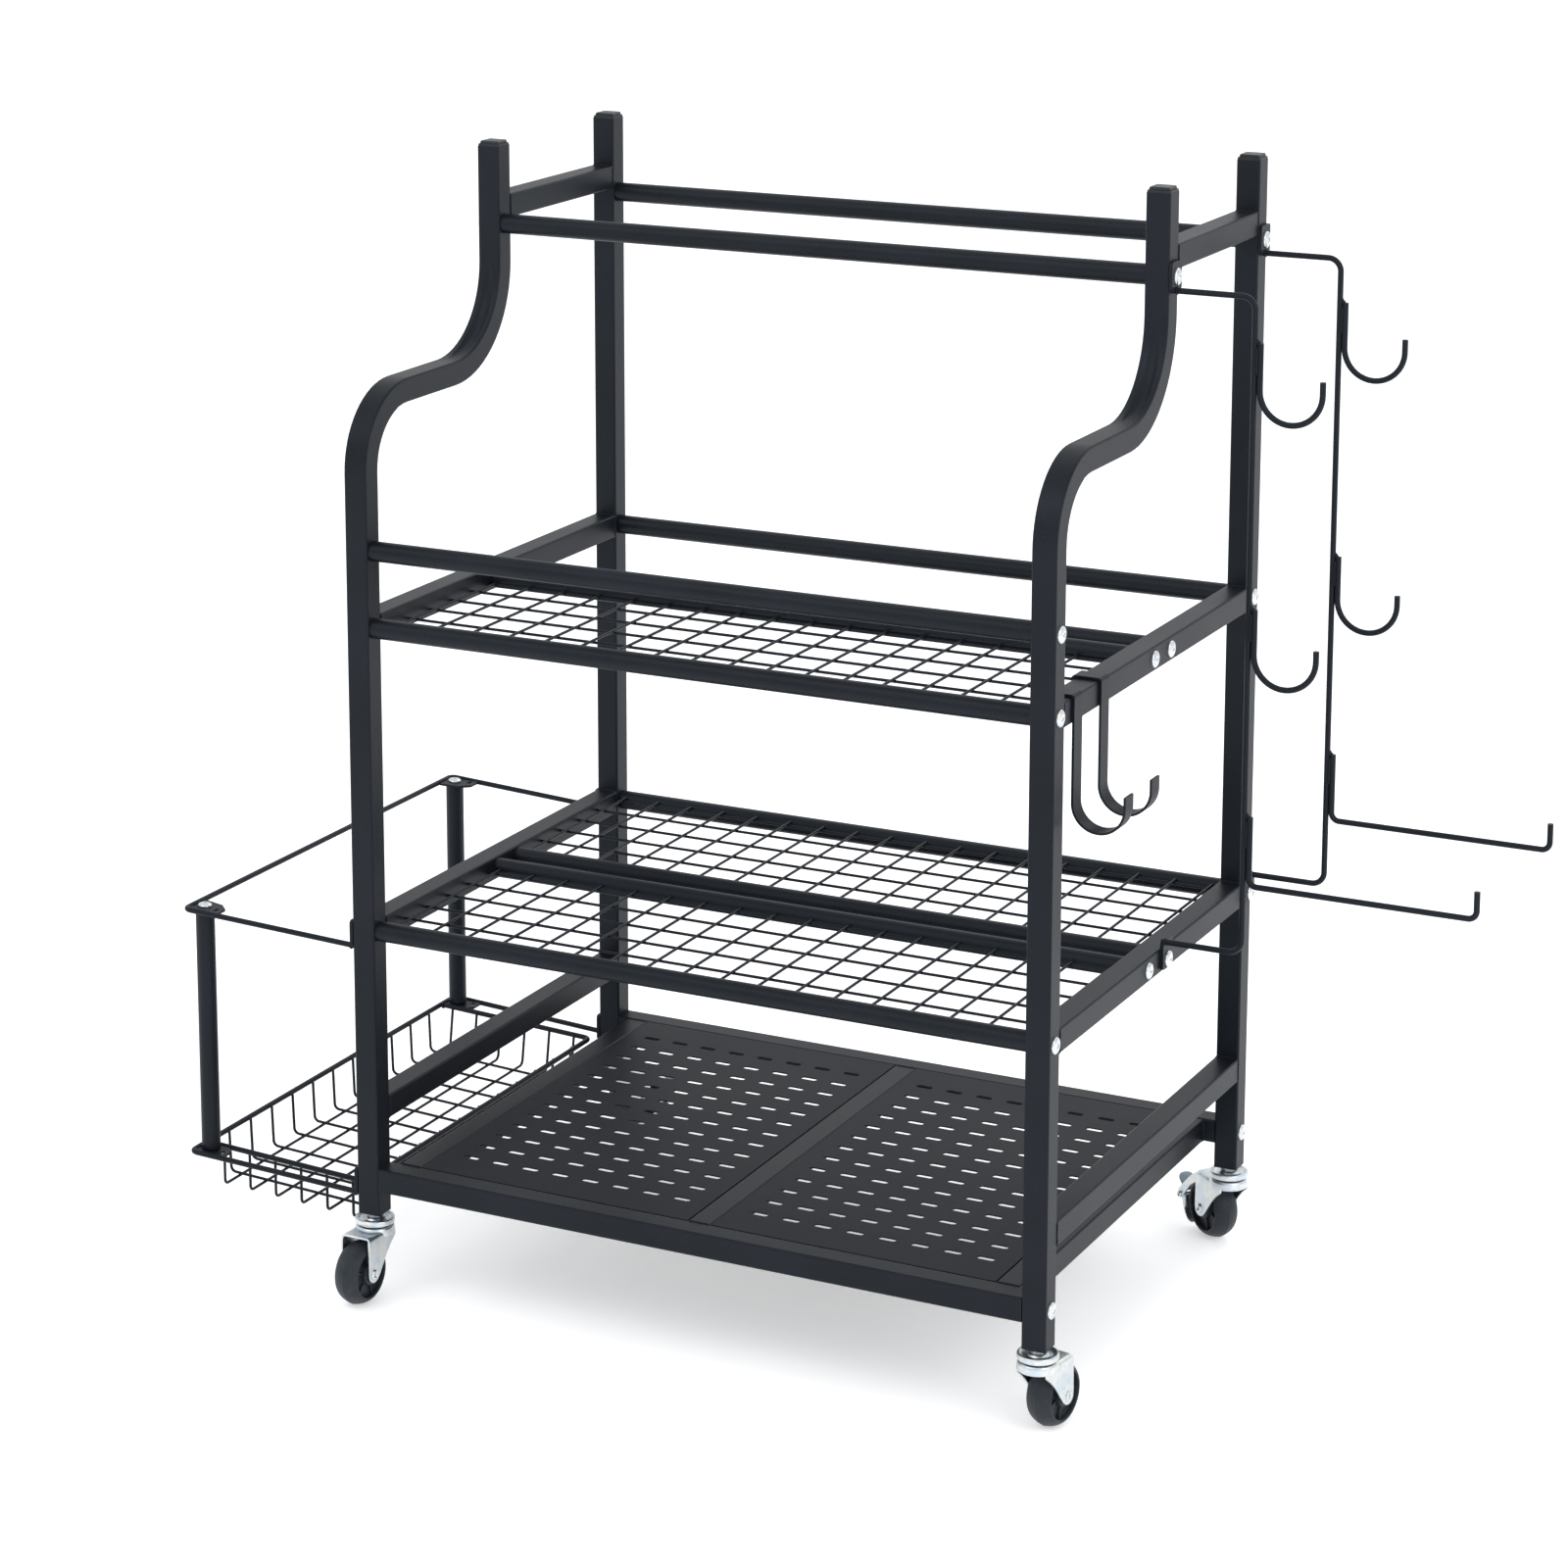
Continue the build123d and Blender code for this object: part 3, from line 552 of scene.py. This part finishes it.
def makeHookWelds():
    draw = random.Random(12)
    mesh = bmesh.new()
    for node in ("hook_rail_front", "hook_rail_rear"):
        low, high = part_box(node)
        x = high.x - hookRail["rodHalf"]
        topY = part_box("top_bar_front" if node.endswith("front") else "top_bar_rear")
        topY = (topY[0].y + topY[1].y) / 2
        lowY = topY if node.endswith("rear") else high.y - hookRail["tabHalf"] - 0.0075
        topZ, lowZ = hookRail["topZ"], hookRail["lowZ"]
        for top in hookRail["shankTops"]:
            y = topY + (lowY - topY) * (topZ - top) / (topZ - lowZ)
            crown = [Vector((x - 0.0004, y, top + 0.0040)), Vector((x + 0.0022, y, top + 0.0012)),
                     Vector((x + 0.0046, y, top - 0.0016))]
            weldBead(mesh, crown, weldSizes["hook"], draw)
            for side in (-1, 1):
                seam = [Vector((x + 0.0025, y + side * 0.0017, top - drop)) for drop in (0.003, 0.026)]
                weldBead(mesh, seam, weldSizes["rod"], draw)
        face = low.x + hookRail["tab"]
        for y, z in ((topY, topZ), (lowY, lowZ)):
            weldBead(mesh, ringLoop((face + 0.0003, y, z), 0.0026), weldSizes["plate"], draw, closed=True)
    makePiece("hookWelds", mesh, "weld", "frame", sharp=60)


def makeHolderWelds():
    draw = random.Random(3)
    mesh = bmesh.new()
    lean = math.radians(holder["lean"])
    rodHalf, halfDepth, outer = holder["rodHalf"], holder["halfDepth"], holder["outer"]
    for node, baseZ in holder["ringZ"].items():
        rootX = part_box("post_rear_left")[0].x

        def onRing(x, y, z):
            reach = rootX - x
            return Vector((rootX - reach * math.cos(lean) + z * math.sin(lean), y,
                           baseZ + reach * math.sin(lean) + z * math.cos(lean)))

        for side in (-1, 1):
            edgeY = side * (halfDepth - rodHalf * 0.8)
            seam = [onRing(outer + 0.010, edgeY, 0.0014), onRing(outer + 0.026, edgeY, 0.0014)]
            weldBead(mesh, seam, weldSizes["plate"], draw)
            seam = [onRing(outer + rodHalf * 0.8, side * (halfDepth - 0.010), 0.0014),
                    onRing(outer + rodHalf * 0.8, side * (halfDepth - 0.026), 0.0014)]
            weldBead(mesh, seam, weldSizes["plate"], draw)
            tabX = rootX - holder["tab"]
            loop = ringLoop((tabX - 0.0003, side * holder["tabY"], baseZ + 0.0001), 0.0025)
            weldBead(mesh, loop, weldSizes["plate"], draw, closed=True)
            if node.endswith("lower"):
                spot = onRing(outer + rodHalf + 0.0004, side * holder["basketY"], 0)
                weldBead(mesh, ringLoop(spot, 0.0026), weldSizes["plate"], draw, closed=True)
    makePiece("holderWelds", mesh, "weld", "frame", sharp=60)


makeRailWelds()
makeHookWelds()
makeHolderWelds()
print("welds made")


# ---- casters

caster = {
    "axle": 0.0278, "trail": 0.0238, "wheel": 0.0278, "wheelHalf": 0.01175, "legMiddle": 0.0136,
    "sheet": 0.0020,
    "plateZ": 0.0603, "foot": 0.0743, "pinX": 0.0568, "pinZ": 0.0290, "armHalf": 0.00096,
}


def strip(mesh, stations, thickness, place, edge=0.0006):
    # bent sheet: each station is (centre, outward normal, near width, far width) across local X
    rings = []
    for centre, normal, near, far in stations:
        half = thickness / 2
        corners = [(near, -half), (far, -half), (far, half), (near, half)]
        ring = []
        for spot in rounded(corners, edge, 3):
            ring.append(mesh.verts.new(place @ (centre + Vector((spot.x, 0, 0)) + normal * spot.y)))
        rings.append(ring)
    joinRings(mesh, rings)
    mesh.faces.new(rings[0])
    mesh.faces.new(rings[-1])


def between(table, z):
    # straight-line look up in (z, x) pairs that rise with z
    for (lowZ, lowX), (highZ, highX) in zip(table, table[1:]):
        if z <= highZ:
            share = max(0.0, (z - lowZ) / (highZ - lowZ))
            return lowX + (highX - lowX) * share
    return table[-1][1]


frontEdge = [mm(*pair) for pair in (
    (20.9, 23.6), (21.0, 21.6), (21.6, 19.6), (23.0, 17.6), (25.2, 15.4), (28.0, 13.4), (31.3, 10.9),
    (35.5, 7.8), (39.8, 4.6), (44.0, 0.8), (47.8, -3.0), (51.0, -7.0), (53.0, -9.3), (57.3, -9.5),
    (60.3, -2.0))]
rearEdge = [mm(*pair) for pair in (
    (20.9, 23.8), (21.0, 26.2), (21.8, 28.0), (23.8, 30.0), (26.0, 31.0), (29.3, 31.3), (57.0, 30.8),
    (58.6, 30.3), (60.3, 29.4))]


def forkStations():
    middle, top, bend = caster["legMiddle"], caster["plateZ"], 0.003
    path = []
    heights = mm(20.9, 21.0, 21.3, 21.8, 22.6, 23.6, 25.0, 27.0, 29.3, 32, 35.5, 39, 42, 45, 47.8, 50, 51.8,
                 53.4, 55.2)
    for z in heights:
        path.append((middle, z, Vector((0, 1, 0))))
    for step in range(9):
        angle = math.pi / 2 * step / 8
        path.append((middle - bend + bend * math.cos(angle), top - bend + bend * math.sin(angle),
                     Vector((0, math.cos(angle), math.sin(angle)))))
    path.append((0.004, top, Vector((0, 0, 1))))
    other = [(-y, z, Vector((0, -normal.y, normal.z))) for y, z, normal in reversed(path)]
    stations = []
    for y, z, normal in path + other:
        stations.append((Vector((0, y, z)), normal, between(frontEdge, z), between(rearEdge, z)))
    return stations


def makeFork(name, place, braked):
    mesh = bmesh.new()
    strip(mesh, forkStations(), caster["sheet"], place)
    crown = [mm(*pair) for pair in (
        (4.6, 59.6), (11.6, 59.6), (13.6, 58.2), (14.9, 56.0), (15.5, 55.8), (16.5, 55.8), (16.8, 56.4),
        (16.9, 58.6), (16.6, 61.4), (15.9, 62.8), (14.6, 63.5), (13.0, 63.4), (11.0, 62.3), (4.6, 62.3))]
    lathe(mesh, rounded(crown, 0.0006, 3), place, 96, closed=True)
    if braked:
        arm = [mm(*pair) for pair in (
            (24.0, 60.4), (30.4, 59.4), (41.0, 51.6), (60.2, 33.2), (61.0, 29.2), (58.8, 25.7), (55.0, 25.7),
            (51.6, 29.6), (40.0, 43.4), (31.0, 49.4), (24.0, 52.0))]
        outline = rounded(arm, 0.0026, 4)
        for side in (-1, 1):
            middle = side * caster["legMiddle"]
            lift = Matrix.Translation((0, middle, 0)) @ Matrix.Rotation(math.radians(90), 4, "X")
            plate(mesh, outline, -caster["armHalf"], caster["armHalf"], 0.0005, place @ lift)
    return makePiece("fork_" + name + "_sheet", mesh, "fork", "fork_" + name, ["caster_fork_" + name], 35)


def lieAcross(x, y, z, turn):
    # local Z turned to run across the fork
    return Matrix.Translation((x, y, z)) @ Matrix.Rotation(math.radians(turn), 4, "X")


def rivetPair(mesh, place, x, z, radius, reach):
    # tubular rivet, flared at both ends
    for side in (-1, 1):
        turn = lieAcross(x, side * reach, z, -90 * side)
        flare = [(radius * share, height) for share, height in (
            (0.0, -0.0012), (0.34, -0.0012), (0.40, 0.0004), (0.52, 0.0012), (0.74, 0.0015), (0.93, 0.0011),
            (1.0, 0.0004), (0.98, -0.0004), (0.6, -0.0005))]
        lathe(mesh, rounded(flare, 0.0002, 2, closed=False), place @ turn, 40)


def makeRivets(name, place, braked):
    mesh = bmesh.new()
    outer = caster["legMiddle"] + caster["sheet"] / 2
    rivetPair(mesh, place, caster["trail"], caster["axle"], 0.0044, outer)
    lay = lieAcross(caster["trail"], -outer, caster["axle"], -90)
    lathe(mesh, [(0.003, 0.0), (0.003, 2 * outer)], place @ lay, 32)
    if braked:
        rivetPair(mesh, place, caster["pinX"], caster["pinZ"], 0.0032, outer)
        lay = lieAcross(caster["pinX"], -outer, caster["pinZ"], -90)
        lathe(mesh, [(0.002, 0.0), (0.002, 2 * outer)], place @ lay, 24)
    return makePiece("rivets_" + name, mesh, "screw", "fork_" + name, ["caster_pins_" + name], 40)


def makeWheel(name, place):
    half = caster["wheelHalf"] * 1000
    radius = caster["wheel"] * 1000
    side = [(3.2, half), (8.6, half), (9.5, half - 0.5), (9.8, 6.9), (10.6, 6.5), (radius - 8.6, 6.5),
            (radius - 8.0, 7.0), (radius - 7.6, half - 1.0), (radius - 7.0, half - 0.3),
            (radius - 6.2, half - 0.3), (radius - 5.0, half - 0.9), (radius - 3.9, half - 2.0),
            (radius - 2.7, half - 3.7),
            (radius - 1.7, half - 5.8), (radius - 0.75, half - 8.4), (radius - 0.22, 0.6),
            (radius - 0.02, 0.25)]
    profile = [mm(*pair) for pair in side] + [mm(r, -y) for r, y in reversed(side)]
    mesh = bmesh.new()
    lay = place @ lieAcross(caster["trail"], 0, caster["axle"], 90)
    lathe(mesh, rounded(profile, 0.0005, 3), lay, 112, closed=True)
    rib = [mm(*pair) for pair in ((9.0, -0.8), (radius - 7.7, -0.6), (radius - 7.7, 0.6), (9.0, 0.8))]
    outline = rounded(rib, 0.0002, 2)
    for turn in range(6):
        spin = Matrix.Rotation(math.tau * turn / 6 + 0.3, 4, "Z")
        for low, high in ((0.0062, 0.0088), (-0.0088, -0.0062)):
            plate(mesh, outline, low, high, 0.0003, lay @ spin)
    return makePiece("wheel_" + name + "_tread", mesh, "wheel", "wheel_" + name, ["caster_wheel_" + name], 32)


def makeBrake(name, place):
    # tongue, neck, shoe and toe as one bent strip: x, z and half width
    line = [(73.4, 41.3, 2.6), (72.8, 40.8, 4.8), (71.6, 39.9, 6.4), (70.0, 38.8, 7.3), (67.2, 36.9, 7.8),
            (64.4, 35.0, 7.9), (62.0, 33.5, 8.4), (60.4, 32.5, 9.4), (59.7, 30.8, 10.4), (59.6, 27.0, 10.4),
            (59.4, 24.4, 10.4), (58.3, 21.0, 10.4), (56.0, 15.4, 10.4), (53.6, 11.2, 10.4), (51.0, 8.1, 10.2),
            (48.4, 6.2, 9.7), (46.6, 5.5, 8.8), (45.9, 5.2, 7.9)]
    spots = [(Vector(mm(x, 0, z)), half / 1000) for x, z, half in line]
    mesh = bmesh.new()
    rings = []
    for i, (spot, half) in enumerate(spots):
        along = (spots[min(i + 1, len(spots) - 1)][0] - spots[max(i - 1, 0)][0]).normalized()
        normal = Vector((0, 1, 0)).cross(along)
        ring = []
        for flat in rounded([(-half, -0.0007), (half, -0.0007), (half, 0.0007), (-half, 0.0007)], 0.0005, 3):
            ring.append(mesh.verts.new(place @ (spot + Vector((0, flat.x, 0)) + normal * flat.y)))
        rings.append(ring)
    joinRings(mesh, rings)
    mesh.faces.new(rings[0])
    mesh.faces.new(rings[-1])
    cheek = [mm(*pair) for pair in (
        (54.1, 31.6), (56.6, 32.5), (60.0, 32.2), (60.2, 24.0), (57.0, 15.6), (54.8, 15.4), (54.0, 24.0))]
    outline = rounded(cheek, 0.0014, 3)
    for side in (-1, 1):
        lift = Matrix.Translation((0, side * 0.0097, 0)) @ Matrix.Rotation(math.radians(90), 4, "X")
        plate(mesh, outline, -0.0007, 0.0007, 0.0004, place @ lift)
    start, end = spots[2][0], spots[5][0]
    along = (end - start).normalized()
    outward = along.cross(Vector((0, 1, 0)))
    if outward.x < 0:
        outward = -outward
    seat = outward.to_track_quat("Z", "Y").to_matrix().to_4x4()
    for row in range(4):
        for column in range(4 if row else 3):
            across = (column - (1.5 if row else 1.0)) * 0.0034
            spot = start.lerp(end, 0.05 + row * 0.29) + Vector((0, across, 0)) + outward * 0.0006
            dot = [(0.0011, 0.0), (0.0010, 0.0004), (0.0006, 0.0007), (0.0, 0.0008)]
            lathe(mesh, dot, place @ Matrix.Translation(spot) @ seat, 14)
    return makePiece("brake_" + name + "_lever", mesh, "brake", "brake_" + name, ["brake_lever_" + name], 40)


def addStem(mesh, races, place):
    cup = [mm(*pair) for pair in (
        (0.0, 66.2), (9.0, 66.2), (12.3, 65.0), (13.4, 64.75), (15.9, 64.75), (16.7, 65.3), (17.0, 66.2),
        (17.0, 68.4), (16.7, 69.5), (15.9, 70.05), (14.8, 69.9), (13.9, 68.7), (12.6, 67.9), (9.6, 68.3),
        (8.6, 69.4), (7.2, 70.6), (0.0, 70.7))]
    lathe(mesh, rounded(cup, 0.0006, 3, closed=False), place, 96)
    hexagon = [(0.0074 * math.cos(math.tau * i / 6), 0.0074 * math.sin(math.tau * i / 6)) for i in range(6)]
    plate(mesh, rounded(hexagon, 0.0008, 3), 0.0705, caster["foot"] + 0.0002, 0.0005, place)
    rod = [mm(*pair) for pair in ((3.9, 70.0), (3.9, 76.0))]
    lathe(mesh, rod, place, 32)
    rivet = [mm(*pair) for pair in ((0.0, 56.2), (5.6, 56.2), (7.0, 57.2), (7.0, 58.6), (0.0, 58.6))]
    lathe(mesh, rounded(rivet, 0.0005, 3, closed=False), place, 48)
    race = [mm(*pair) for pair in (
        (0.0, 63.65), (14.2, 63.65), (14.9, 64.0), (14.9, 64.7), (14.2, 65.2), (0.0, 65.2))]
    lathe(races, rounded(race, 0.0002, 2, closed=False), place, 72)


def makeCasters():
    stems = bmesh.new()
    races = bmesh.new()
    for name in ("front_left", "front_right", "rear_left", "rear_right"):
        swivel = Vector(joints["swivel_" + name]["pos_m"])
        spin = Vector(joints["spin_" + name]["pos_m"])
        heading = math.atan2(spin.y - swivel.y, spin.x - swivel.x)
        place = Matrix.Translation((swivel.x, swivel.y, 0)) @ Matrix.Rotation(heading, 4, "Z")
        braked = name.startswith("rear")
        makeFork(name, place, braked)
        makeRivets(name, place, braked)
        makeWheel(name, place)
        if braked:
            makeBrake(name, place)
        addStem(stems, races, place)
    makePiece("stemCups", stems, "fork", "frame", ["caster_stems"], 35)
    makePiece("bearingRaces", races, "race", "frame")


makeCasters()
print("casters made")


# ---- floor, light and camera

studio = {
    "floorTone": (0.90, 0.90, 0.905), "floorGlow": 0.42, "worldTone": (0.97, 0.985, 1.0), "worldPower": 1.0,
    "keyPower": 24.0, "fillPower": 24.0, "backPower": 14.0,
}


def makeFloor():
    bpy.ops.mesh.primitive_plane_add(size=60, location=(0, 0, -0.0002))
    floor = bpy.context.object
    floor.name = "studioFloor"
    finish, start = newFinish("studioPaper")
    place = start.node("TexCoord", {}, {}, "Object")
    fleck = noise(start, place, 3.0, 4.0)
    shade = fleck.mixed(colour(*[tone * 0.985 for tone in studio["floorTone"]]), colour(*studio["floorTone"]))
    setSurface(finish, {"Base Color": shade, "Roughness": 0.9, "Specular IOR Level": 0.1,
                        "Emission Color": (1, 1, 1, 1), "Emission Strength": studio["floorGlow"]})
    floor.data.materials.append(finish)


def softBox(name, place, target, width, height, power):
    lamp = bpy.data.lights.new(name, "AREA")
    lamp.shape = "RECTANGLE"
    lamp.size = width
    lamp.size_y = height
    lamp.energy = power
    box = bpy.data.objects.new(name, lamp)
    bpy.context.scene.collection.objects.link(box)
    box.location = place
    box.rotation_euler = (Vector(target) - Vector(place)).to_track_quat("-Z", "Y").to_euler()


def makeStudio():
    makeFloor()
    world = bpy.data.worlds.new("studioWorld")
    world.use_nodes = True
    sky = world.node_tree.nodes["Background"]
    sky.inputs["Color"].default_value = (*studio["worldTone"], 1)
    sky.inputs["Strength"].default_value = studio["worldPower"]
    bpy.context.scene.world = world
    softBox("keyLight", (-1.2, -2.6, 3.4), (0, 0, 0.4), 2.4, 1.8, studio["keyPower"])
    softBox("fillLight", (2.8, -1.2, 2.2), (0, 0, 0.4), 1.6, 1.8, studio["fillPower"])
    softBox("backLight", (0.4, 2.8, 2.8), (0, 0, 0.5), 2.6, 1.4, studio["backPower"])


cameraSetup = {
    "place": (1.49487, -3.09687, 1.45555), "turn": 27.713, "down": 11.459, "roll": -0.232,
    "lens": 96.763, "shiftX": 0.07327, "shiftY": -0.23754,
}


def makeCamera():
    data = bpy.data.cameras.new("studioCamera")
    data.lens = cameraSetup["lens"]
    data.sensor_width = 36.0
    data.shift_x = cameraSetup["shiftX"]
    data.shift_y = cameraSetup["shiftY"]
    data.clip_end = 100
    bpy.context.scene.view_settings.view_transform = "Standard"
    camera = bpy.data.objects.new("studioCamera", data)
    bpy.context.scene.collection.objects.link(camera)
    turn = Matrix.Rotation(math.radians(cameraSetup["turn"]), 4, "Z")
    tilt = Matrix.Rotation(math.radians(90 - cameraSetup["down"]), 4, "X")
    roll = Matrix.Rotation(math.radians(cameraSetup["roll"]), 4, "Z")
    camera.matrix_world = Matrix.Translation(cameraSetup["place"]) @ turn @ tilt @ roll
    bpy.context.scene.camera = camera


makeStudio()
makeCamera()
print("studio ready")
